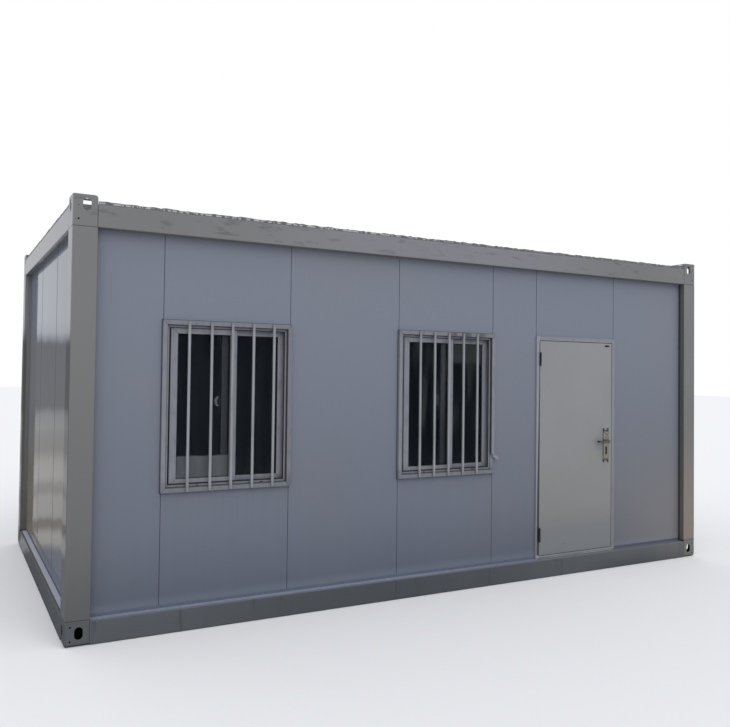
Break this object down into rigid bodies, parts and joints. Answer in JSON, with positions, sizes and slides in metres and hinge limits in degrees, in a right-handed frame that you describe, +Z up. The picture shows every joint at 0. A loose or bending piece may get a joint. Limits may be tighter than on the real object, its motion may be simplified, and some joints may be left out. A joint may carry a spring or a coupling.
{
  "type": "shipping container cabin",
  "caption": "Flat-pack container cabin: folded-steel frame with corner castings, insulated wall panels, barred sliding windows and a steel door that opens outwards.",
  "frame": {"origin": "on the ground at the middle of the plan, under the four bottom castings", "axes": "+X along the front from left to right, +Y from the front wall into the cabin, +Z up"},
  "size_m": [6.055, 2.99, 2.896],
  "materials": {
    "frame_paint": "satin grey paint on folded steel",
    "casting_paint": "satin grey paint on welded plate",
    "galvanised_steel": "galvanised",
    "floor_covering": "vinyl on fibre-cement board",
    "lining_white": "white coil coating",
    "roof_coating": "coil-coated steel sheet",
    "wall_panel": "smooth coil-coated steel skin, half gloss",
    "window_profile": "pale grey window profile",
    "window_glass": "dark reflective pane",
    "door_frame_paint": "satin pale grey paint",
    "door_paint": "satin warm grey paint",
    "hinge_steel": "dark weathered steel",
    "lock_metal": "satin nickel"
  },
  "bodies": {
    "cabin": {"floor_beam_front": "frame_paint", "roof_beam_front": "frame_paint", "floor_beam_right": "frame_paint", "roof_beam_right": "frame_paint", "floor_beam_back": "frame_paint", "roof_beam_back": "frame_paint", "floor_beam_left": "frame_paint", "roof_beam_left": "frame_paint", "post_front_left": "frame_paint", "post_front_right": "frame_paint", "post_back_left": "frame_paint", "post_back_right": "frame_paint", "bottom_corner_castings": "casting_paint", "top_corner_castings": "casting_paint", "floor_joists": "galvanised_steel", "floor_board": "floor_covering", "roof_purlins": "galvanised_steel", "ceiling": "lining_white", "roof_sheet": "roof_coating", "roof_flashings": "roof_coating", "front_wall_left_strip": "wall_panel", "front_wall_at_left_window": "wall_panel", "front_wall_middle_panel": "wall_panel", "front_wall_at_right_window": "wall_panel", "front_wall_narrow_panel": "wall_panel", "front_wall_over_door": "wall_panel", "front_wall_right_panel": "wall_panel", "back_wall": "wall_panel", "left_end_wall": "wall_panel", "right_end_wall": "wall_panel", "wall_base_trim": "frame_paint", "left_window_frame": "window_profile", "left_window_sashes": "window_profile", "right_window_frame": "window_profile", "right_window_sashes": "window_profile", "window_glass": "window_glass", "door_frame": "door_frame_paint", "hinge_halves_on_frame": "hinge_steel"},
    "door": {"door_leaf": "door_paint", "hinge_halves_on_door": "hinge_steel", "lock_plates": "lock_metal"},
    "lever": {"door_levers": "lock_metal"}
  },
  "joints": [
    {"name": "door_hinge", "type": "hinge", "parent": "cabin", "child": "door", "pos_m": [1.0135, -1.4585, 1.1385], "axis": [0, 0, -1], "range_deg": [0, 110]},
    {"name": "lever_turn", "type": "hinge", "parent": "door", "child": "lever", "pos_m": [1.832, -1.43, 1.165], "axis": [0, -1, 0], "range_deg": [0, 40], "stiffness_Nm_per_rad": 1.5, "springref_deg": -28.65}
  ]
}
